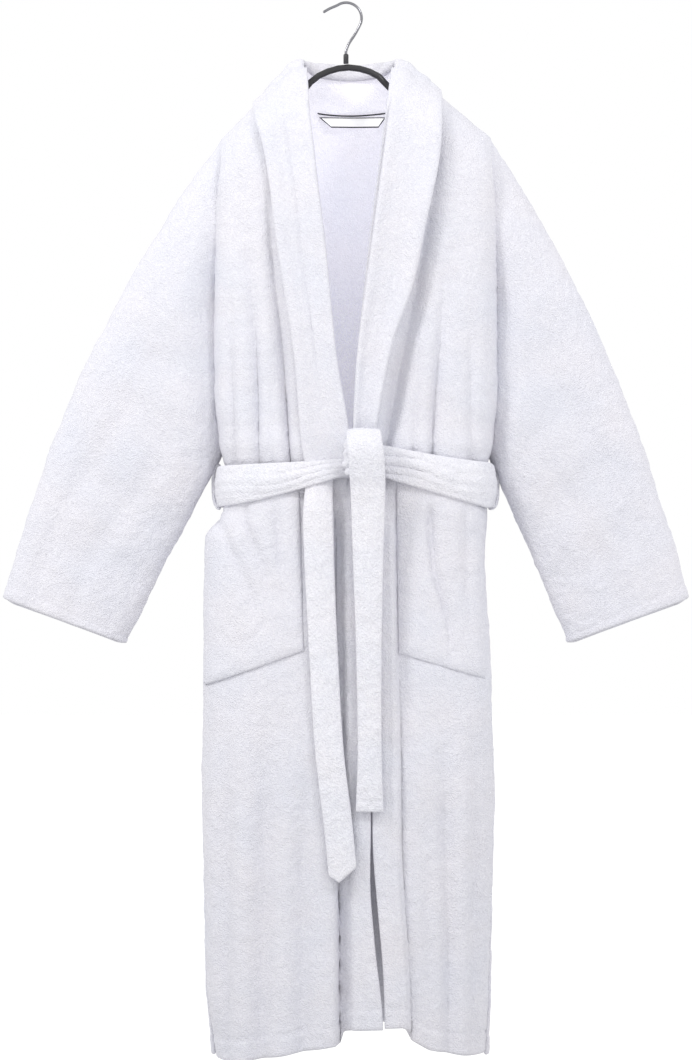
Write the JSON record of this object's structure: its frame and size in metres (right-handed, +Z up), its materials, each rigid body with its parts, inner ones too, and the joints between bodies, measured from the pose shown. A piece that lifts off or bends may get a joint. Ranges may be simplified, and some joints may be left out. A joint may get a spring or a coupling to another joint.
{
  "type": "bathrobe on a hanger",
  "caption": "Shawl-collar terry bathrobe tied at the waist, hung on a slim black hanger with a swivelling wire hook, with patch pockets, wide cuffs and loose belt ends",
  "frame": {"origin": "inside of the hook's bend, where it rests on the rail", "axes": "+Z up; the front of the robe faces -Y; +X is to the right of a person facing the front. Left and right in node names are as that person sees them"},
  "size_m": [0.838, 0.2116, 1.2873],
  "materials": {
    "terry": "white cotton terry, loop pile on both faces",
    "label_cloth": "smooth woven white label cloth, left blank",
    "dark_thread": "dark woven cord",
    "hanger_black": "satin black",
    "hook_steel": "bright drawn steel wire"
  },
  "bodies": {
    "hook": {"hook": "hook_steel", "hook_head": "hook_steel"},
    "hanger": {"neck_ferrule": "hanger_black", "hanger_bar": "hanger_black"},
    "robe": {"back_panel": "terry", "back_hem": "terry", "front_left_upper": "terry", "front_right_upper": "terry", "lapel_left": "terry", "lapel_right": "terry", "collar_back": "terry", "neck_label": "label_cloth", "belt_waist": "terry", "belt_loop_left": "terry", "belt_loop_right": "terry", "belt_knot": "terry"},
    "loop": {"hang_loop": "dark_thread"},
    "sleeve_left": {"sleeve_left": "terry", "cuff_left": "terry"},
    "sleeve_right": {"sleeve_right": "terry", "cuff_right": "terry"},
    "front_left": {"skirt_front_left": "terry", "skirt_hem_left": "terry", "front_band_left": "terry", "pocket_left": "terry"},
    "front_right": {"skirt_front_right": "terry", "skirt_hem_right": "terry", "front_band_right": "terry", "pocket_right": "terry"},
    "tail_main": {"belt_tail_main": "terry"},
    "tail_long": {"belt_tail_long": "terry"}
  },
  "joints": [
    {"name": "hook_swivel", "type": "hinge", "parent": "hook", "child": "hanger", "pos_m": [0, 0, 0], "axis": [0, 0, 1], "continuous": true},
    {"name": "robe_lift", "type": "slide", "parent": "hanger", "child": "robe", "axis": [0, 0, 1], "range_m": [0, 0.15]},
    {"name": "loop_flip", "type": "hinge", "parent": "robe", "child": "loop", "pos_m": [0.008, 0.04479, -0.12701], "axis": [-1, 0, 0], "range_deg": [0, 160]},
    {"name": "sleeve_left_raise", "type": "hinge", "parent": "robe", "child": "sleeve_left", "pos_m": [-0.15355, 0, -0.16718], "axis": [0, 1, 0], "range_deg": [0, 45]},
    {"name": "sleeve_right_raise", "type": "hinge", "parent": "robe", "child": "sleeve_right", "pos_m": [0.17755, 0, -0.16494], "axis": [0, -1, 0], "range_deg": [0, 45]},
    {"name": "front_left_aside", "type": "hinge", "parent": "robe", "child": "front_left", "pos_m": [0.028, 0, -0.589], "axis": [0, 1, 0], "range_deg": [0, 8]},
    {"name": "front_right_aside", "type": "hinge", "parent": "robe", "child": "front_right", "pos_m": [0.028, 0, -0.589], "axis": [0, -1, 0], "range_deg": [0, 8]},
    {"name": "tail_main_swing", "type": "hinge", "parent": "robe", "child": "tail_main", "pos_m": [0.028, -0.1046, -0.58435], "axis": [-1, 0, 0], "range_deg": [0, 60]},
    {"name": "tail_long_swing", "type": "hinge", "parent": "robe", "child": "tail_long", "pos_m": [-0.034, -0.086, -0.60746], "axis": [-1, 0, 0], "range_deg": [0, 60]}
  ]
}
